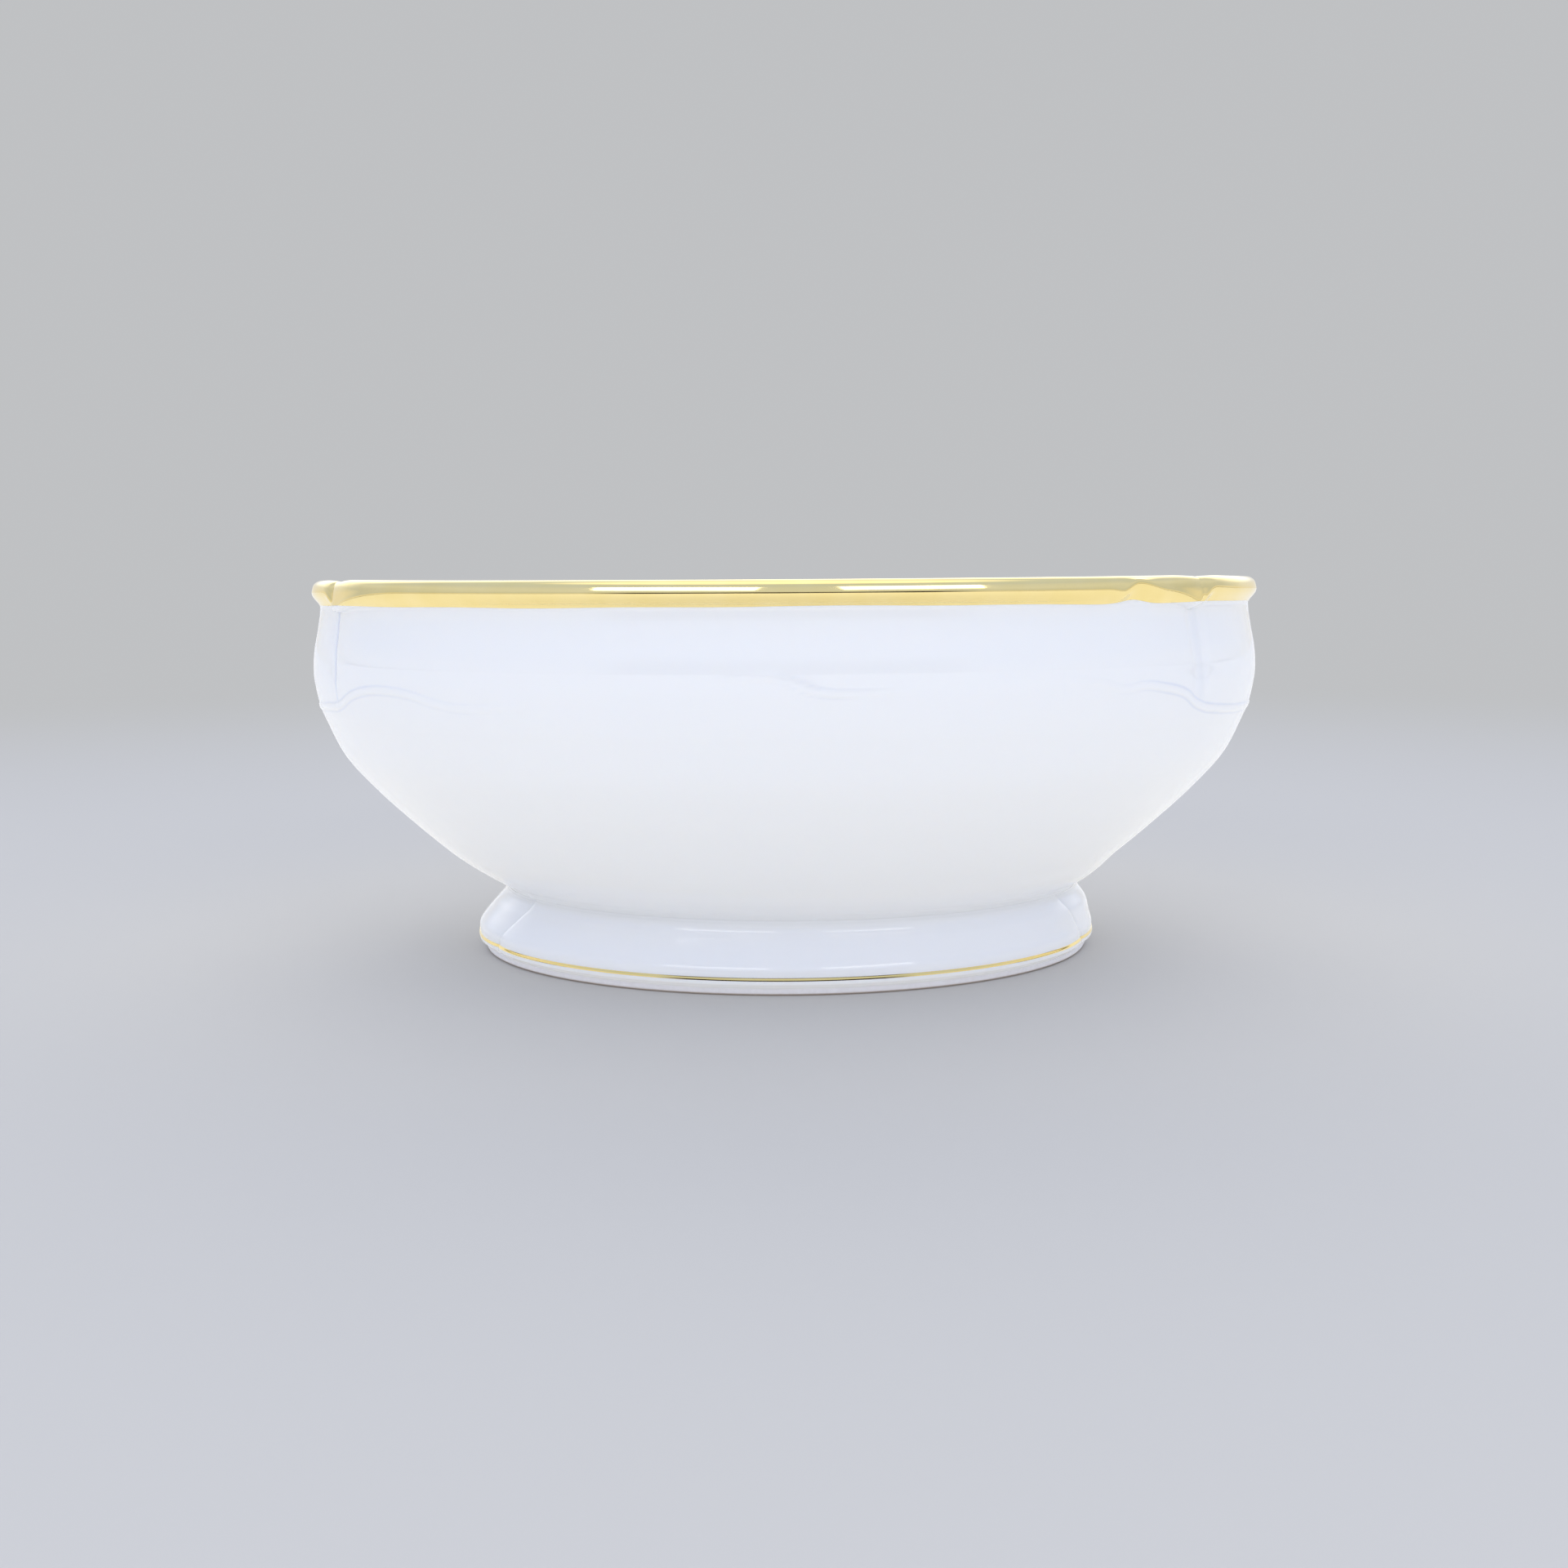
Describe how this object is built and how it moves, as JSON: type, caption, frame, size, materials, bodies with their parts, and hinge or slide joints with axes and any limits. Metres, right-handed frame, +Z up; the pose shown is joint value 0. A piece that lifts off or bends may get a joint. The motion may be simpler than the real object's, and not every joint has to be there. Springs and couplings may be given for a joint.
{
  "type": "footed oval porcelain serving bowl",
  "caption": "Footed oval serving bowl in white glazed porcelain with a lobed, flared lip edged in gold and a flared pedestal foot with a thin gold line.",
  "frame": {"origin": "on the surface that the bowl stands on, under the middle of the oval", "axes": "+X along the long axis of the oval, +Y away from the side shown in the main view, +Z up"},
  "size_m": [0.24, 0.1918, 0.0932],
  "materials": {
    "porcelain": "gloss",
    "slip": "gloss",
    "gold": "polished"
  },
  "bodies": {
    "root": {"bowl_body": "porcelain", "pedestal_foot": "porcelain", "slip_joint": "slip", "rim_gold_band": "gold", "foot_gold_line": "gold"}
  },
  "joints": []
}
